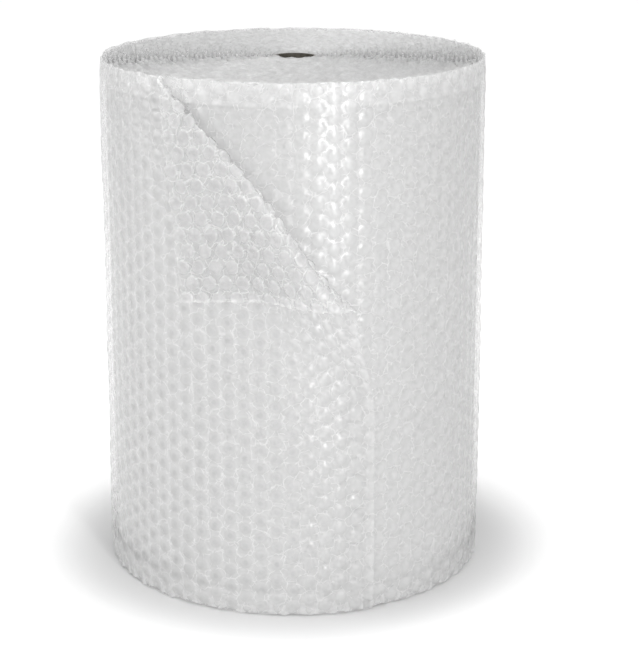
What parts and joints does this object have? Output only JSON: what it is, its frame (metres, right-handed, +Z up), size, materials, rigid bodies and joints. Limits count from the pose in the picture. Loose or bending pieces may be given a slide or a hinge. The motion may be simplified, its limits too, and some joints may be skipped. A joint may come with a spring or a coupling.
{
  "type": "bubble film roll",
  "caption": "Tall roll of clear air-bubble cushioning film on a cardboard core, stood on end, with the free end's top corner folded over outwards.",
  "frame": {"origin": "on the core's axis, in the plane of the lower end that the roll stands on", "axes": "+Z up along the core's axis, -Y towards the side with the turned corner, +X to the right seen from there"},
  "size_m": [0.7365, 0.7709, 1],
  "materials": {
    "bubble_film": "clear glossy polyethylene film, milky where its turns lie on each other",
    "core_board": "wound grey-brown board, matt"
  },
  "bodies": {
    "root": {"film_roll": "bubble_film", "core_tube": "core_board"}
  },
  "joints": []
}
